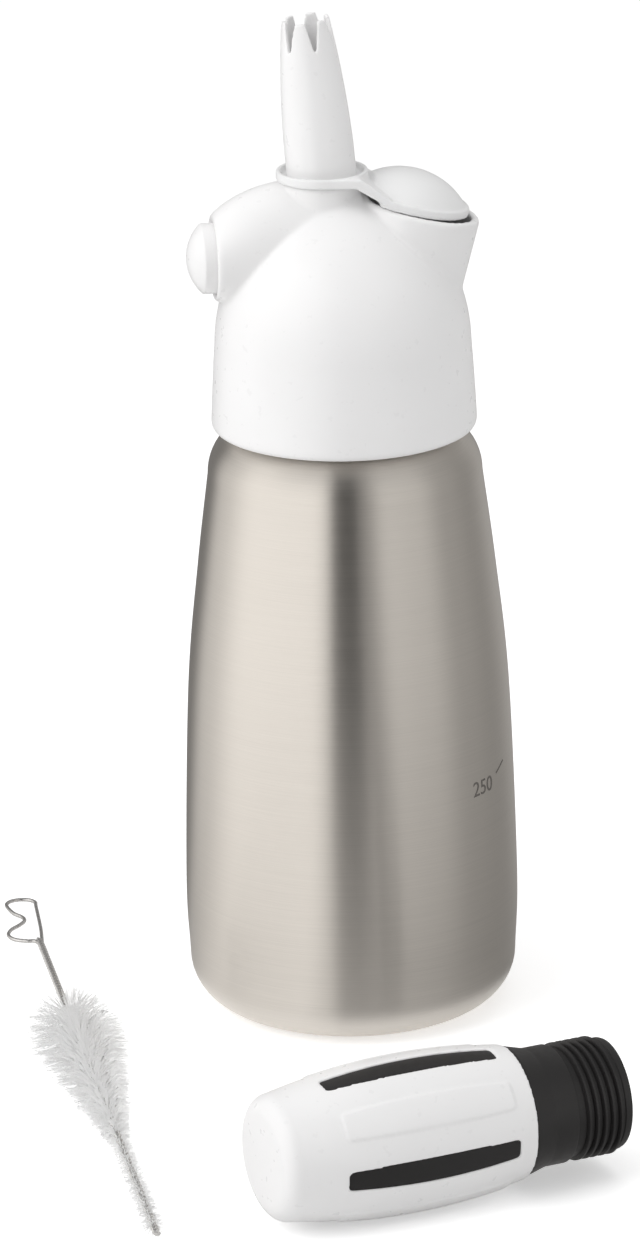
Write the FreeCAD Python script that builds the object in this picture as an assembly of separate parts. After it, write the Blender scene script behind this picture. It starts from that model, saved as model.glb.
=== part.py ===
import FreeCAD, Part
import math
import os

# Cream whipper: a steel bottle, a white head with a push-button valve, a charger port under a
# tethered lid, a serrated nozzle, the charger holder that screws into the port, and a brush.
# Millimetres. The origin is the centre of the bottle's foot and +Z is up. The head's plane of
# symmetry is XZ: the button faces -X and the port leans to +X.

V = FreeCAD.Vector
UP = V(0, 0, 1)

# Clearances
running_gap = 0.05
static_gap = 0.02
body_gap = 0.3

# Bottle
bottle_max_r = 38.0
bottle_foot_r = 26.4
bottle_foot_corner_r = 11.0
bottle_shoulder_z = 126.0
bottle_shoulder_r = 31.0
bottle_top_z = 157.0
bottle_wall = 1.0
neck_r = 24.5
neck_wall = 1.2
neck_start_z = 136.3
side_low_z = 30.0
side_mid_z = 76.0
side_mid_dip = 1.5
side_high_z = 104.6
side_high_dip = 4.3
shoulder_bulge = 2.3
neck_step = 0.6
mouth_edge_r = 0.48
foot_groove_r = 18.0
foot_groove_width = 2.0
foot_groove_depth = 0.5

# Head shell
skirt_bottom_z = 136.9
skirt_r = 29.9
skirt_top_z = 157.0
skirt_top_r = 28.8
skirt_edge_r = 1.4
dome_mid_r = 23.6
dome_mid_z = 175.4
dome_top_r = 6.0
dome_top_z = 191.2
cavity_top_z = 160.0
cavity_mouth_flare = 1.2
spout_x = -4.1
saddle_top_z = 194.2
saddle_half_width = 10.4
barrel_proud = 0.2
barrel_z = 177.2
barrel_r = 9.8
barrel_edge_r = 0.8
stub_r = 6.1
stub_height = 8.4
stub_bore_r = 3.2
stub_root = 5.0

# Charger port
port_tilt = 14.5
port_x = 17.2
port_z = 187.1
port_rim_r = 14.5
port_bore_r = 12.6
port_depth = 19.0
port_wall_length = 30.0
port_wall_taper = 0.3
port_edge_r = 0.7
carrier_r = 4.4
carrier_length = 3.2
gas_way_r = 1.2
pin_tip_depth = 19.4
pin_tip_length = 2.0
pin_tip_r = 0.15
pin_seat = 1.0
pin_bore_r = 0.5
port_seal_r = 9.4
port_seal_thickness = 1.6
port_seal_sink = 0.6
flap_r = 3.8
flap_thickness = 1.4
flap_stalk_length = 2.0

# Valve in the barrel
button_r = 7.9
button_clearance = 0.25
button_out = 2.5
button_dome = 3.4
button_in = 3.2
button_wall = 1.6
button_face = 0.6
pocket_depth = 7.6
cartridge_r = 5.95
cartridge_bore_r = 3.0
cartridge_length = 12.6
seat_hole_r = 2.3
seat_thickness = 1.5
stem_r = 1.6
stem_boss_r = 2.7
stem_boss_length = 3.0
stem_bore_extra = 1.0
poppet_r = 3.5
poppet_thickness = 1.4
poppet_seal_thickness = 0.7
chamber_r = 4.2
chamber_length = 7.2
outlet_from_seat = 4.6
stem_groove_start = 2.0
cartridge_groove_from_end = 2.2
o_ring_side_gap = 0.1
inlet_r = 1.8
outlet_r = 1.8
o_ring_wire_r = 0.7
spring_wire_d = 0.8
spring_mean_r = 4.6
spring_turns = 5.0

# Nozzle
nozzle_base_r = 7.75
nozzle_mid_r = 6.95
nozzle_tip_r = 5.3
nozzle_height = 36.0
nozzle_plain_height = 7.0
nozzle_mid_share = 0.6
nozzle_tip_wall_share = 0.8
nozzle_lean = 5.0
nozzle_wall = 1.3
nozzle_socket_depth = 8.6
tooth_count = 6
tooth_depth = 8.0
tooth_gap_top = 3.4
tooth_turn = 8.0

# Tether ring and lid
ring_r = 10.3
ring_floor = 0.8
ring_height = 2.2
ring_lip = 1.0
ring_hole_r = 6.3
strap_thickness = 2.0
strap_bend_x = 2.0
strap_foot_x = 10.0
lid_gap = 0.3
hinge_x = 7.4
lid_flange_r = 13.5
lid_flange_thickness = 1.8
lid_shift = -1.9
lid_dome_r = 12.6
lid_dome_height = 5.6

# Charger holder, lying on the floor
holder_end_x = -39.5
holder_end_y = -134.0
holder_yaw = 16.4
holder_length = 82.0
cover_length = 58.0
cover_max_r = 16.7
cover_max_share = 0.46
cover_end_r = 14.0
cover_corner_r = 4.0
cover_mouth_r = 14.8
cover_wall = 1.8
sleeve_neck_r = 13.0
sleeve_collar_r = 14.5
sleeve_collar_length = 5.0
sleeve_neck_length = 10.6
sleeve_thread_r = 12.5
sleeve_end_r = 12.3
sleeve_end_length = 1.9
sleeve_end_edge_r = 0.8
sleeve_bore_r = 9.2
sleeve_bore_depth = 64.0
slot_start = 13.3
slot_end_margin = 4.5
slot_mid_width = 5.7
slot_end_width = 4.2
slot_edge_r = 0.8
slot_first_turn = -82.5
slot_count = 4
slot_recess = 0.4
panel_start = 13.8
panel_mid_width = 7.4
panel_end_width = 6.0
panel_relief = 0.35

# Brush, lying on the floor
brush_x = -62.8
brush_tip_y = -137.0
brush_length = 174.9
brush_wire_r = 1.4
brush_yaw = 2.0
loop_wire_r = 0.8
loop_length = 27.0
loop_right = 2.2
loop_left = 6.4
loop_notch = 1.8
loop_top_left = 4.3
bristle_start = 54.0
bristle_length = 76.0
bristle_widest_from_end = 18.0
bristle_shoulder_from_end = 8.0
bristle_shoulder_share = 0.9
bristle_top_r = 7.0
bristle_big_r = 11.5
bristle_small_r = 3.2
fine_bristle_r = 3.0
fine_bristle_length = 50.0
fine_bristle_start = 2.0

# Sizes that follow from the ones above
port_axis = V(math.sin(math.radians(port_tilt)), 0, math.cos(math.radians(port_tilt)))
port_across = V(math.cos(math.radians(port_tilt)), 0, -math.sin(math.radians(port_tilt)))
port_centre = V(port_x, 0, port_z)
barrel_x = -(skirt_top_r + barrel_proud)
cavity_r = neck_r + body_gap
gasket_thickness = cavity_top_z - bottle_top_z - body_gap
cartridge_start_x = barrel_x + pocket_depth
cartridge_end_x = cartridge_start_x + cartridge_length
chamber_end_x = cartridge_end_x + chamber_length
outlet_x = cartridge_end_x - outlet_from_seat
inlet_x = (cartridge_end_x + chamber_end_x) / 2
pocket_r = button_r + button_clearance
nozzle_foot_z = saddle_top_z + ring_floor
button_floor_x = barrel_x - button_out + button_face
poppet_face_x = cartridge_end_x + running_gap + poppet_seal_thickness
o_ring_groove_width = 2 * (o_ring_wire_r + o_ring_side_gap)
stem_groove_x = cartridge_start_x + stem_groove_start
stem_groove_r = cartridge_bore_r - 2 * running_gap - 2 * o_ring_wire_r
cartridge_groove_x = cartridge_end_x - cartridge_groove_from_end
cartridge_groove_r = cartridge_r - running_gap - 2 * o_ring_wire_r
seal_floor_depth = port_depth + port_seal_sink + port_seal_thickness
carrier_foot_depth = seal_floor_depth + carrier_length
slot_length = cover_length - slot_start - slot_end_margin
part_length = bottle_top_z + nozzle_height + brush_length


def revolve_z(points):
    """Turns a closed outline of (radius, height) pairs about Z."""
    wire = Part.makePolygon([V(r, 0, z) for r, z in points] + [V(points[0][0], 0, points[0][1])])
    return Part.Face(wire).revolve(V(0, 0, 0), UP, 360)


def revolve_edges(edges):
    """Turns a closed outline of edges in the XZ plane about Z."""
    return Part.Face(Part.Wire(edges)).revolve(V(0, 0, 0), UP, 360)


def arc(a, b, c):
    return Part.Arc(V(*a), V(*b), V(*c)).toShape()


def line(a, b):
    return Part.LineSegment(V(*a), V(*b)).toShape()


def rod(radius, length, start, direction):
    return Part.makeCylinder(radius, length, start, direction)


def ring_o(wire_r, inner_r, centre, direction):
    return Part.makeTorus(inner_r + wire_r, wire_r, centre, direction)


def place_along(shape, start, direction):
    """Moves a shape modelled along +Z so that it starts at a point and runs along a direction."""
    shape.Placement = FreeCAD.Placement(start, FreeCAD.Rotation(UP, direction))
    return shape


def wall_spline(inset):
    """The bottle's side from its foot corner to its shoulder, moved in by the wall."""
    corner_r = bottle_foot_r + bottle_foot_corner_r
    points = [
        V(corner_r - inset, 0, bottle_foot_corner_r),
        V(bottle_max_r - inset, 0, side_low_z),
        V(bottle_max_r - side_mid_dip - inset, 0, side_mid_z),
        V(bottle_max_r - side_high_dip - inset, 0, side_high_z),
        V(bottle_shoulder_r - inset, 0, bottle_shoulder_z),
    ]
    curve = Part.BSplineCurve()
    curve.interpolate(Points=points, InitialTangent=V(0.1, 0, 1), FinalTangent=V(-0.2, 0, 1))
    return curve.toShape()


def bottle_solid(inset, foot_z, neck_r_here, top_z):
    """One solid of revolution: the bottle's outside, or its hollow when moved in by the wall."""
    corner_r = bottle_foot_r + bottle_foot_corner_r
    dip = (1 - math.sqrt(0.5)) * (bottle_foot_corner_r - inset)
    foot_corner = (corner_r - inset - dip, 0, foot_z + dip)
    side_foot = (corner_r - inset, 0, bottle_foot_corner_r)
    side_top = (bottle_shoulder_r - inset, 0, bottle_shoulder_z)
    shoulder_end = (neck_r + neck_step - inset, 0, neck_start_z - inset)
    shoulder_mid_z = (bottle_shoulder_z + shoulder_end[2]) / 2 + shoulder_bulge * 0.85
    shoulder_mid = (bottle_shoulder_r - shoulder_bulge - inset, 0, shoulder_mid_z)
    neck_foot = (neck_r_here, 0, shoulder_end[2])
    edges = [
        line((0, 0, foot_z), (bottle_foot_r, 0, foot_z)),
        arc((bottle_foot_r, 0, foot_z), foot_corner, side_foot),
        wall_spline(inset),
        arc(side_top, shoulder_mid, shoulder_end),
        line(shoulder_end, neck_foot),
        line(neck_foot, (neck_r_here, 0, top_z)),
        line((neck_r_here, 0, top_z), (0, 0, top_z)),
        line((0, 0, top_z), (0, 0, foot_z)),
    ]
    return revolve_edges(edges)


def make_bottle():
    outside = bottle_solid(0.0, 0.0, neck_r, bottle_top_z)
    hollow = bottle_solid(bottle_wall, bottle_wall, neck_r - neck_wall, bottle_top_z + 1)
    bottle = outside.cut(hollow)
    groove = Part.makeCylinder(foot_groove_r + foot_groove_width / 2, foot_groove_depth)
    groove = groove.cut(Part.makeCylinder(foot_groove_r - foot_groove_width / 2, foot_groove_depth))
    bottle = bottle.cut(groove)
    mouth = [e for e in bottle.Edges if abs(e.BoundBox.ZMin - bottle_top_z) < 1e-6]
    return bottle.makeFillet(mouth_edge_r, mouth)


def big_block(centre):
    """A cube larger than the whole part, to cut away everything on one side."""
    half = V(part_length, part_length, part_length)
    return Part.makeBox(2 * half.x, 2 * half.y, 2 * half.z, centre - half)


def ellipse_section(x, half_width, bottom_z, top_z):
    """One cross-section of the saddle, as a closed wire in the YZ plane."""
    half_height = (top_z - bottom_z) / 2
    centre = V(x, 0, (top_z + bottom_z) / 2)
    if half_height >= half_width:
        curve = Part.Ellipse(centre + V(0, 0, half_height), centre + V(0, half_width, 0), centre)
    else:
        curve = Part.Ellipse(centre + V(0, half_width, 0), centre + V(0, 0, half_height), centre)
    return Part.Wire([curve.toShape()])


def saddle():
    """The horn that runs from the button's end face up to the seat of the nozzle."""
    bottom = barrel_z - barrel_r
    sections = [
        ellipse_section(barrel_x, barrel_r, bottom, barrel_z + barrel_r - 0.2),
        ellipse_section(barrel_x + 4, barrel_r + 0.25, bottom, saddle_top_z - 4.2),
        ellipse_section(barrel_x + 8, saddle_half_width, bottom, saddle_top_z - 2.2),
        ellipse_section(barrel_x + 13, saddle_half_width + 0.2, bottom, saddle_top_z - 0.7),
        ellipse_section(barrel_x + 19, saddle_half_width + 0.4, bottom, saddle_top_z),
        ellipse_section(spout_x, saddle_half_width + 0.6, bottom, saddle_top_z + 0.3),
        ellipse_section(spout_x + 8, saddle_half_width + 0.6, bottom, saddle_top_z - 0.6),
    ]
    horn = Part.makeLoft(sections, True, False)
    seat = rod(ring_r - ring_lip, saddle_top_z - barrel_z, V(spout_x, 0, barrel_z), UP)
    above = big_block(V(0, 0, saddle_top_z + part_length))
    return horn.fuse(seat).cut(above)


def dome():
    """The skirt and dome over the bottle's neck, one surface of revolution."""
    edges = [
        line((0, 0, skirt_bottom_z), (skirt_r - skirt_edge_r, 0, skirt_bottom_z)),
        arc(
            (skirt_r - skirt_edge_r, 0, skirt_bottom_z),
            (skirt_r - 0.29 * skirt_edge_r, 0, skirt_bottom_z + 0.29 * skirt_edge_r),
            (skirt_r, 0, skirt_bottom_z + skirt_edge_r),
        ),
        arc(
            (skirt_r, 0, skirt_bottom_z + skirt_edge_r),
            ((skirt_r + skirt_top_r) / 2 + 0.1, 0, (skirt_bottom_z + skirt_top_z) / 2),
            (skirt_top_r, 0, skirt_top_z),
        ),
        arc((skirt_top_r, 0, skirt_top_z), (dome_mid_r, 0, dome_mid_z), (dome_top_r, 0, dome_top_z)),
        line((dome_top_r, 0, dome_top_z), (0, 0, dome_top_z)),
        line((0, 0, dome_top_z), (0, 0, skirt_bottom_z)),
    ]
    return revolve_edges(edges)


def port_cup():
    """The charger port's outer wall, from its rim down into the dome."""
    cup = Part.makeCone(port_rim_r - port_wall_taper, port_rim_r, port_wall_length)
    rim = [e for e in cup.Edges if e.BoundBox.ZMin > port_wall_length - static_gap]
    cup = cup.makeFillet(port_edge_r, rim)
    return place_along(cup, port_point(port_wall_length), port_axis)


def port_point(depth):
    """A point on the port's axis, a depth below its rim."""
    return port_centre - port_axis * depth


def make_head_shell():
    shell = dome().fuse(saddle()).fuse(port_cup()).removeSplitter()
    end_face = [
        e
        for e in shell.Edges
        if abs(e.BoundBox.XMin - barrel_x) < 0.01 and abs(e.BoundBox.XMax - barrel_x) < 0.01
    ]
    shell = shell.makeFillet(barrel_edge_r, end_face)
    shell = shell.fuse(rod(stub_r, stub_height + stub_root, V(spout_x, 0, saddle_top_z - stub_root), UP))
    neck_room = rod(cavity_r, cavity_top_z - skirt_bottom_z, V(0, 0, skirt_bottom_z), UP)
    flare = Part.makeCone(cavity_r + cavity_mouth_flare, cavity_r, cavity_mouth_flare)
    flare.translate(V(0, 0, skirt_bottom_z))
    tools = [
        neck_room,
        flare,
        rod(port_bore_r, port_depth + 1, port_point(port_depth), port_axis),
        rod(port_seal_r + static_gap, seal_floor_depth, port_point(seal_floor_depth), port_axis),
        rod(carrier_r + static_gap, carrier_length, port_point(carrier_foot_depth), port_axis),
        rod(gas_way_r, port_depth, port_point(carrier_foot_depth + port_depth / 2), port_axis),
        rod(pocket_r, pocket_depth + 1, V(barrel_x - 1, 0, barrel_z), V(1, 0, 0)),
        rod(
            cartridge_r + running_gap,
            cartridge_length,
            V(cartridge_start_x, 0, barrel_z),
            V(1, 0, 0),
        ),
        rod(chamber_r, chamber_length, V(cartridge_end_x, 0, barrel_z), V(1, 0, 0)),
        rod(inlet_r, barrel_z - cavity_top_z, V(inlet_x, 0, cavity_top_z), UP),
        outlet_way(),
        rod(stub_bore_r, stub_height, V(spout_x, 0, saddle_top_z), UP),
    ]
    for tool in tools:
        shell = shell.cut(tool)
    return shell


def outlet_way():
    """The slanted passage from the valve's cross-hole to the nozzle stub."""
    start = V(outlet_x, 0, barrel_z)
    end = V(spout_x, 0, saddle_top_z + 1)
    return rod(outlet_r, (end - start).Length, start, end - start)


def make_head_gasket():
    ring = rod(cavity_r - static_gap, gasket_thickness, V(0, 0, bottle_top_z + body_gap), UP)
    hole = rod(neck_r - neck_wall - 2.6, gasket_thickness, V(0, 0, bottle_top_z + body_gap), UP)
    return ring.cut(hole)


def make_pin_carrier():
    carrier = rod(carrier_r, carrier_length, port_point(carrier_foot_depth), port_axis)
    return carrier.cut(rod(gas_way_r, carrier_length, port_point(carrier_foot_depth), port_axis))


def make_piercing_pin():
    """The hollow needle in the carrier that opens the charger."""
    foot_depth = carrier_foot_depth - pin_seat
    shank_length = foot_depth - pin_tip_depth - pin_tip_length
    shank_r = gas_way_r - static_gap
    pin = Part.makeCylinder(shank_r, shank_length)
    pin = pin.fuse(Part.makeCone(shank_r, pin_tip_r, pin_tip_length, V(0, 0, shank_length)))
    pin = pin.cut(Part.makeCylinder(pin_bore_r, shank_length + pin_tip_length / 2))
    return place_along(pin, port_point(foot_depth), port_axis)


def make_port_seal():
    start = port_point(seal_floor_depth)
    ring = rod(port_seal_r, port_seal_thickness, start, port_axis)
    return ring.cut(rod(carrier_r + static_gap, port_seal_thickness, start, port_axis))


def make_check_flap():
    centre = port_point((port_z - cavity_top_z) / port_axis.z)
    flap = rod(flap_r, flap_thickness, V(centre.x, 0, cavity_top_z - flap_thickness), UP)
    stalk = rod(gas_way_r / 2, flap_stalk_length, V(centre.x, 0, cavity_top_z), UP)
    return flap.fuse(stalk)


def make_nozzle():
    base_z = -nozzle_base_r * math.sin(math.radians(nozzle_lean)) * 1.5
    mid_z = nozzle_height * nozzle_mid_share
    inside_top = nozzle_height + nozzle_wall
    tip_inside_r = nozzle_tip_r - nozzle_wall * nozzle_tip_wall_share
    outer = [
        line((0, 0, base_z), (nozzle_base_r, 0, base_z)),
        line((nozzle_base_r, 0, base_z), (nozzle_base_r, 0, nozzle_plain_height)),
        arc(
            (nozzle_base_r, 0, nozzle_plain_height),
            (nozzle_mid_r, 0, mid_z),
            (nozzle_tip_r, 0, nozzle_height),
        ),
        line((nozzle_tip_r, 0, nozzle_height), (0, 0, nozzle_height)),
        line((0, 0, nozzle_height), (0, 0, base_z)),
    ]
    w = nozzle_wall
    inner = [
        line((0, 0, nozzle_plain_height), (nozzle_base_r - w, 0, nozzle_plain_height)),
        arc(
            (nozzle_base_r - w, 0, nozzle_plain_height),
            (nozzle_mid_r - w, 0, mid_z),
            (tip_inside_r, 0, inside_top),
        ),
        line((tip_inside_r, 0, inside_top), (0, 0, inside_top)),
        line((0, 0, inside_top), (0, 0, nozzle_plain_height)),
    ]
    tip = revolve_edges(outer).cut(revolve_edges(inner))
    for i in range(tooth_count):
        angle = tooth_turn + i * 360.0 / tooth_count
        half = tooth_gap_top / 2
        top = nozzle_height + 1
        notch = Part.Face(
            Part.makePolygon(
                [
                    V(0, -half, top),
                    V(0, 0, nozzle_height - tooth_depth),
                    V(0, half, top),
                    V(0, -half, top),
                ]
            )
        ).extrude(V(nozzle_base_r + 2, 0, 0))
        notch.rotate(V(0, 0, 0), UP, angle - 90)
        tip = tip.cut(notch)
    tip.rotate(V(0, 0, 0), V(0, 1, 0), -nozzle_lean)
    tip.translate(V(spout_x, 0, nozzle_foot_z))
    below = big_block(V(spout_x, 0, nozzle_foot_z - part_length))
    socket = rod(stub_r + static_gap, nozzle_socket_depth, V(spout_x, 0, nozzle_foot_z), UP)
    return tip.cut(below).cut(socket)


def strap():
    """The strap from the ring's middle to the flange's middle, as wide as both."""
    top_z = saddle_top_z + ring_height
    foot = lid_centre() + port_across * ((strap_foot_x - lid_centre().x) / port_across.x)
    middle = lid_centre()
    rise = V(0, 0, strap_thickness)
    side = [V(spout_x, 0, saddle_top_z), V(strap_bend_x, 0, saddle_top_z), foot, middle]
    side += [middle + rise, foot + rise, V(strap_bend_x + strap_thickness / 2, 0, top_z)]
    side += [V(spout_x, 0, top_z), side[0]]
    deep = V(0, part_length, 0)
    plate = Part.Face(Part.makePolygon(side)).extrude(deep * 2).translated(-deep)
    wide = lid_flange_r - static_gap
    plan = [V(spout_x, -ring_r, 0), V(middle.x, -wide, 0), V(middle.x, wide, 0), V(spout_x, ring_r, 0)]
    plan = Part.Face(Part.makePolygon(plan + plan[:1])).extrude(V(0, 0, part_length))
    hollow = rod(ring_r - ring_lip, ring_r, V(spout_x, 0, saddle_top_z - ring_lip), UP)
    return plate.common(plan).cut(hollow)


def lid_centre():
    """The centre of the flange's underside."""
    return port_centre + port_axis * lid_gap + port_across * lid_shift


def make_tether_ring():
    ring = rod(ring_r, ring_height, V(spout_x, 0, saddle_top_z), UP)
    ring = ring.cut(rod(ring_r - ring_lip, ring_height, V(spout_x, 0, nozzle_foot_z), UP))
    near = strap().common(big_block(V(hinge_x - part_length, 0, 0)))
    near = near.cut(rod(ring_r - ring_lip + static_gap, saddle_top_z - barrel_z, V(spout_x, 0, barrel_z), UP))
    return ring.fuse(near).cut(rod(ring_hole_r, ring_r, V(spout_x, 0, saddle_top_z - ring_lip), UP))


def make_port_lid():
    flange = rod(lid_flange_r, lid_flange_thickness, lid_centre(), port_axis)
    h = lid_dome_height
    sphere_r = (lid_dome_r**2 + h**2) / (2 * h)
    top = lid_centre() + port_axis * (lid_flange_thickness + h - sphere_r)
    cap = Part.makeSphere(sphere_r, top)
    keep = rod(lid_dome_r, h + 1, lid_centre() + port_axis * (lid_flange_thickness - 0.5), port_axis)
    lid = flange.fuse(cap.common(keep)).fuse(strap())
    return lid.common(big_block(V(hinge_x + part_length, 0, 0))).removeSplitter()


def make_push_button():
    """A round button with a domed face, hollow behind for the spring, with a boss on the stem."""
    total = button_in + button_out
    face_r = (button_r**2 + button_dome**2) / (2 * button_dome)
    mid_r = button_r / 2
    edges = [
        line((0, 0, 0), (button_r, 0, 0)),
        line((button_r, 0, 0), (button_r, 0, total)),
        arc(
            (button_r, 0, total),
            (mid_r, 0, total + button_dome - face_r + math.sqrt(face_r**2 - mid_r**2)),
            (0, 0, total + button_dome),
        ),
        line((0, 0, total + button_dome), (0, 0, 0)),
    ]
    button = revolve_edges(edges)
    hollow = Part.makeCylinder(button_r - button_wall, total - button_face)
    boss = Part.makeCylinder(stem_boss_r, stem_boss_length, V(0, 0, total - button_face - stem_boss_length))
    button = button.cut(hollow).fuse(boss)
    bore_length = stem_boss_length + stem_bore_extra
    bore = Part.makeCylinder(stem_r + static_gap, bore_length, V(0, 0, total - button_face - bore_length))
    button = button.cut(bore)
    return place_along(button, V(barrel_x + button_in, 0, barrel_z), V(-1, 0, 0))


def make_valve_stem():
    start = V(button_floor_x, 0, barrel_z)
    stem = rod(stem_r, poppet_face_x - button_floor_x, start, V(1, 0, 0))
    stem = stem.fuse(rod(poppet_r, poppet_thickness, V(poppet_face_x, 0, barrel_z), V(1, 0, 0)))
    groove = rod(stem_r + 1, o_ring_groove_width, V(stem_groove_x, 0, barrel_z), V(1, 0, 0))
    core = rod(stem_groove_r, o_ring_groove_width, V(stem_groove_x, 0, barrel_z), V(1, 0, 0))
    return stem.cut(groove.cut(core))


def make_poppet_seal():
    start = V(poppet_face_x - poppet_seal_thickness, 0, barrel_z)
    seal = rod(poppet_r, poppet_seal_thickness, start, V(1, 0, 0))
    return seal.cut(rod(stem_r + static_gap, poppet_seal_thickness, start, V(1, 0, 0)))


def make_stem_o_ring():
    centre = V(stem_groove_x + o_ring_groove_width / 2, 0, barrel_z)
    return ring_o(o_ring_wire_r, stem_groove_r + running_gap / 2, centre, V(1, 0, 0))


def make_valve_cartridge():
    start = V(cartridge_start_x, 0, barrel_z)
    body = rod(cartridge_r, cartridge_length, start, V(1, 0, 0))
    body = body.cut(rod(cartridge_bore_r, cartridge_length - seat_thickness, start, V(1, 0, 0)))
    body = body.cut(rod(seat_hole_r, cartridge_length, start, V(1, 0, 0)))
    body = body.cut(rod(outlet_r, cartridge_r + 1, V(outlet_x, 0, barrel_z), UP))
    groove = rod(cartridge_r + 1, o_ring_groove_width, V(cartridge_groove_x, 0, barrel_z), V(1, 0, 0))
    core = rod(cartridge_groove_r, o_ring_groove_width, V(cartridge_groove_x, 0, barrel_z), V(1, 0, 0))
    return body.cut(groove.cut(core))


def make_cartridge_o_ring():
    centre = V(cartridge_groove_x + o_ring_groove_width / 2, 0, barrel_z)
    return ring_o(o_ring_wire_r, cartridge_groove_r + running_gap / 2, centre, V(1, 0, 0))


def make_return_spring():
    """One unbroken wire of round turns between the cartridge's face and the button."""
    room = cartridge_start_x - button_floor_x
    height = room - spring_wire_d - 2 * running_gap
    pitch = height / spring_turns
    helix = Part.makeHelix(pitch, height, spring_mean_r)
    circle = Part.Wire([Part.makeCircle(spring_wire_d / 2, V(spring_mean_r, 0, 0), V(0, 1, 0))])
    spring = Part.Wire(helix.Edges).makePipeShell([circle], True, False)
    print("spring gap between turns %.2f" % (pitch - spring_wire_d))
    start = V(button_floor_x + running_gap + spring_wire_d / 2, 0, barrel_z)
    return place_along(spring, start, V(1, 0, 0))


def lay_holder(shape):
    """Lays a shape modelled along +Z from its closed end on the floor."""
    shape.rotate(V(0, 0, 0), V(0, 1, 0), 90)
    shape.rotate(V(0, 0, 0), UP, holder_yaw)
    shape.translate(V(holder_end_x, holder_end_y, cover_max_r))
    return shape


def cover_outline(inset):
    """The barrel-shaped cover's outside, or its hollow when moved in by the wall."""
    centre_r = cover_end_r - cover_corner_r
    corner_r = cover_corner_r - inset
    half = corner_r * math.sqrt(0.5)
    corner_mid = (centre_r + half, 0, cover_corner_r - half)
    side_foot = (centre_r + corner_r, 0, cover_corner_r)
    side_mid = (cover_max_r - inset, 0, cover_length * cover_max_share)
    side_top = (cover_mouth_r - inset, 0, cover_length)
    edges = [
        line((0, 0, inset), (centre_r, 0, inset)),
        arc((centre_r, 0, inset), corner_mid, side_foot),
        arc(side_foot, side_mid, side_top),
        line(side_top, (0, 0, cover_length)),
        line((0, 0, cover_length), (0, 0, inset)),
    ]
    return revolve_edges(edges)


def long_tool(turn, start, length, mid_width, end_width):
    """A long bar with bowed sides that runs out of the cover's wall at one turn."""
    half = end_width / 2
    bow = mid_width / 2
    foot_x = cover_end_r - cover_wall - cover_corner_r
    end = start + length
    edges = [
        line((foot_x, -half, start), (foot_x, half, start)),
        arc((foot_x, half, start), (foot_x, bow, start + length / 2), (foot_x, half, end)),
        line((foot_x, half, end), (foot_x, -half, end)),
        arc((foot_x, -half, end), (foot_x, -bow, start + length / 2), (foot_x, -half, start)),
    ]
    bar = Part.Face(Part.Wire(edges)).extrude(V(cover_max_r, 0, 0))
    ends = [e for e in bar.Edges if abs(e.BoundBox.XLength - cover_max_r) < static_gap]
    bar = bar.makeFillet(slot_edge_r, ends)
    bar.rotate(V(0, 0, 0), UP, turn)
    return bar


def slot_tool(number, gap):
    """One window of the cover, or the sleeve's strip that shows in it when a gap is given."""
    turn = slot_first_turn + number * 360.0 / slot_count
    mid_width = slot_mid_width - 2 * gap
    end_width = slot_end_width - 2 * gap
    return long_tool(turn, slot_start + gap, slot_length - 2 * gap, mid_width, end_width)


def panel(number):
    """The low raised panel between two windows."""
    turn = slot_first_turn + (number + 0.5) * 360.0 / slot_count
    length = slot_length + 2 * (slot_start - panel_start)
    bar = long_tool(turn, panel_start, length, panel_mid_width, panel_end_width)
    return bar.common(cover_outline(-panel_relief))


def make_holder_cover():
    cover = cover_outline(0)
    for number in range(slot_count):
        cover = cover.fuse(panel(number))
    cover = cover.cut(cover_outline(cover_wall))
    for number in range(slot_count):
        cover = cover.cut(slot_tool(number, 0))
    return lay_holder(cover)


def make_holder_sleeve():
    """The black inner sleeve: it fills the cover, carries the thread and holds the cartridge."""
    sleeve = cover_outline(cover_wall + static_gap)
    for number in range(slot_count):
        sleeve = sleeve.fuse(slot_tool(number, static_gap).common(cover_outline(slot_recess)))
    collar_z = cover_length + static_gap
    collar_top_z = cover_length + sleeve_collar_length
    neck_top_z = cover_length + sleeve_neck_length
    end_z = holder_length - sleeve_end_length
    outline = [
        (0, collar_z - cover_wall),
        (cover_mouth_r - 2 * cover_wall, collar_z - cover_wall),
        (cover_mouth_r - 2 * cover_wall, collar_z),
        (sleeve_collar_r, collar_z),
        (sleeve_neck_r, collar_top_z),
        (sleeve_neck_r, neck_top_z),
        (sleeve_thread_r, neck_top_z),
        (sleeve_thread_r, end_z),
        (sleeve_end_r, end_z),
        (sleeve_end_r, holder_length - sleeve_end_edge_r),
        (sleeve_end_r - sleeve_end_edge_r, holder_length),
        (0, holder_length),
    ]
    bore_foot = V(0, 0, holder_length - sleeve_bore_depth)
    sleeve = sleeve.fuse(revolve_z(outline))
    sleeve = sleeve.cut(Part.makeCylinder(sleeve_bore_r, sleeve_bore_depth, bore_foot))
    return lay_holder(sleeve.removeSplitter())


def lay_brush(shape):
    """Lays a shape modelled along +Z from the brush's tip on the floor."""
    shape.rotate(V(0, 0, 0), V(1, 0, 0), -90)
    shape.rotate(V(0, 0, 0), UP, brush_yaw)
    shape.translate(V(brush_x, brush_tip_y, fine_bristle_r))
    return shape


def make_brush_wire():
    stem = Part.makeCylinder(brush_wire_r, brush_length)
    return lay_brush(stem)


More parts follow.
